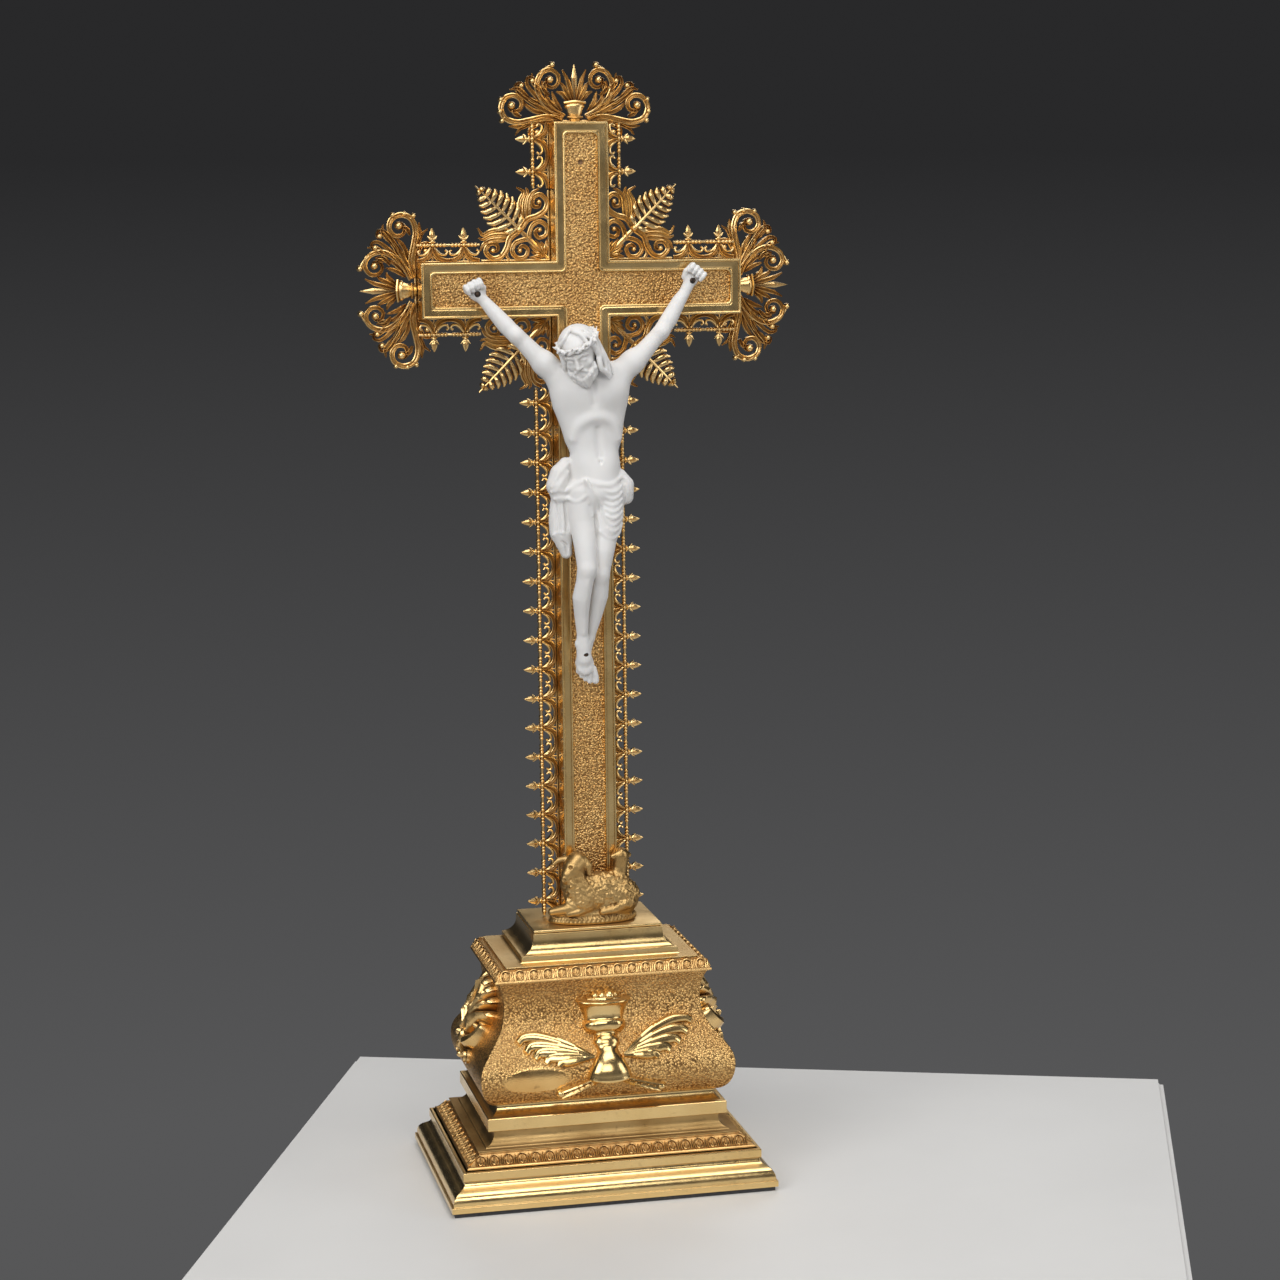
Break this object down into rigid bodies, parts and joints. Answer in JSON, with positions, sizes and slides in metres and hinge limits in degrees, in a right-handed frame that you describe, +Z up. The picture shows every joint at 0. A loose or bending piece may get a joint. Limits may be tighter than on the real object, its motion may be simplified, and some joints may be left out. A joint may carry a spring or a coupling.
{
  "type": "altar cross",
  "caption": "Standing altar cross in gilt brass: moulded plinth, swelling casket, bordered cross with pierced galleries and palmettes, biscuit figure held by nails, and a lamb at its foot.",
  "frame": {"origin": "middle of the underside, on the table that the cross stands on", "axes": "+Z up along the cross, +X to the right as seen from the front, the front looks along -Y"},
  "size_m": [0.1812, 0.104, 0.468],
  "materials": {
    "gilt_polished": "polished gilt brass, worn and a little patinated in the hollows",
    "gilt_grained": "gilt brass with a fine stippled ground",
    "gilt_pierced": "stamped and pierced gilt brass, brown in the recesses",
    "biscuit": "matte white unglazed biscuit porcelain",
    "dark_iron": "darkened iron",
    "core_wood": "plain turned and sawn wood, hidden",
    "black_baize": "black baize"
  },
  "bodies": {
    "root": {"base_baize": "black_baize", "plinth_core": "core_wood", "riser_core": "core_wood", "casket_core": "core_wood", "cap_core": "core_wood", "cross_core": "core_wood", "plinth_moulding": "gilt_polished", "plinth_leaf_band": "gilt_grained", "plinth_cove": "gilt_polished", "sill_moulding": "gilt_polished", "casket_front": "gilt_grained", "casket_back": "gilt_grained", "casket_left": "gilt_grained", "casket_right": "gilt_grained", "chalice_mount": "gilt_polished", "wheat_left": "gilt_polished", "wheat_right": "gilt_polished", "stalk_left": "gilt_polished", "stalk_right": "gilt_polished", "side_mount_left": "gilt_pierced", "side_mount_right": "gilt_pierced", "cornice_leaf_band": "gilt_grained", "cap_moulding": "gilt_polished", "cap_plate": "gilt_polished", "cross_border": "gilt_polished", "cross_panel": "gilt_grained", "cross_back": "gilt_grained", "gallery_shaft_left": "gilt_pierced", "gallery_shaft_right": "gilt_pierced", "gallery_arm_left_top": "gilt_pierced", "gallery_arm_left_low": "gilt_pierced", "gallery_arm_right_top": "gilt_pierced", "gallery_arm_right_low": "gilt_pierced", "gallery_head_left": "gilt_pierced", "gallery_head_right": "gilt_pierced", "corner_leaf_top_left": "gilt_pierced", "corner_leaf_top_right": "gilt_pierced", "corner_leaf_low_left": "gilt_pierced", "corner_leaf_low_right": "gilt_pierced", "palmette_top": "gilt_pierced", "palmette_left": "gilt_pierced", "palmette_right": "gilt_pierced", "corpus": "biscuit", "hand_nail_left": "dark_iron", "hand_nail_right": "dark_iron", "foot_nail": "dark_iron", "lamb": "gilt_pierced", "lamb_screw": "dark_iron", "cross_bolt": "dark_iron", "block_screw_left": "dark_iron", "block_screw_right": "dark_iron", "back_pin_top": "gilt_polished", "back_pin_left": "gilt_polished", "back_pin_right": "gilt_polished", "back_pin_foot": "gilt_polished"}
  },
  "joints": []
}
